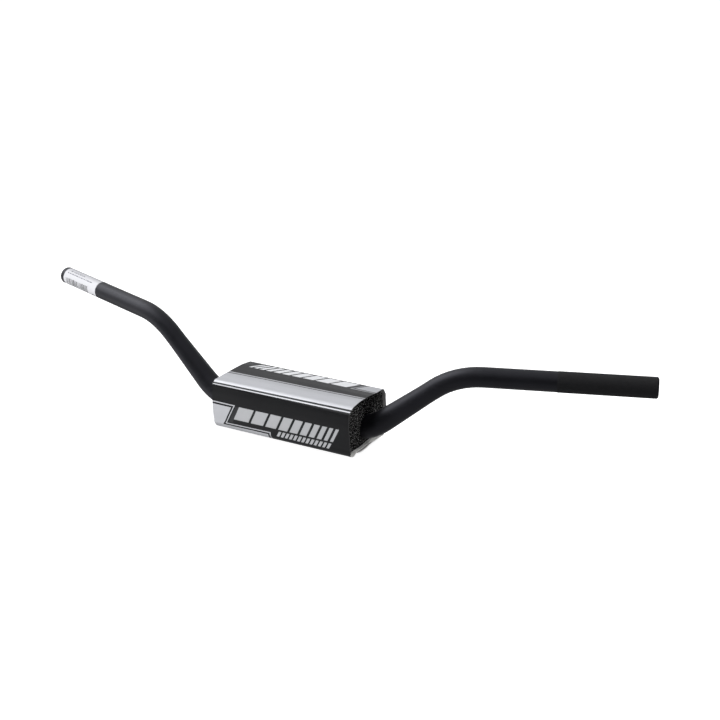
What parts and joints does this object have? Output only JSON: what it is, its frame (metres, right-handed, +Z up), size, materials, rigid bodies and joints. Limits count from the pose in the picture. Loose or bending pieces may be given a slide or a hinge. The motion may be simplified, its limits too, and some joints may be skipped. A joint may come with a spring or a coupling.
{
  "type": "handlebar",
  "caption": "Off-road motorcycle handlebar: a tapered black tube with bent risers and swept grips, and a foam bar pad in a wrap that closes underneath.",
  "frame": {"origin": "on the tube's axis in the middle of the clamp section, midway between the two sides", "axes": "+X along the clamp section to the rider's left, +Y back to the rider, +Z up"},
  "size_m": [0.8074, 0.1179, 0.1268],
  "materials": {
    "anodised_tube": "satin",
    "label_paper": "satin",
    "pad_foam": "matte",
    "coated_fabric": "satin",
    "hook_and_loop": "matte",
    "thread": "satin"
  },
  "bodies": {
    "handlebar": {"handlebar_tube": "anodised_tube", "barcode_label": "label_paper", "foam_core": "pad_foam", "pad_cover": "coated_fabric"},
    "closure": {"closure_flap": "coated_fabric", "loop_tape": "hook_and_loop", "loop_stitching": "thread"},
    "inner_fold": {"inner_flap": "coated_fabric", "hook_tape": "hook_and_loop", "hook_stitching": "thread"}
  },
  "joints": [
    {"name": "closure_fold", "type": "hinge", "parent": "handlebar", "child": "closure", "pos_m": [0.01211, 0.03395, -0.02107], "axis": [0.9998, 0, 0.0192], "range_deg": [0, 150]},
    {"name": "inner_flap_fold", "type": "hinge", "parent": "handlebar", "child": "inner_fold", "pos_m": [0.01211, -0.03545, -0.02107], "axis": [-0.9998, 0, -0.0192], "range_deg": [0, 75]}
  ],
  "couplings": [
    {"joint": "inner_flap_fold", "follows": "closure_fold", "ratio": 0.5}
  ]
}
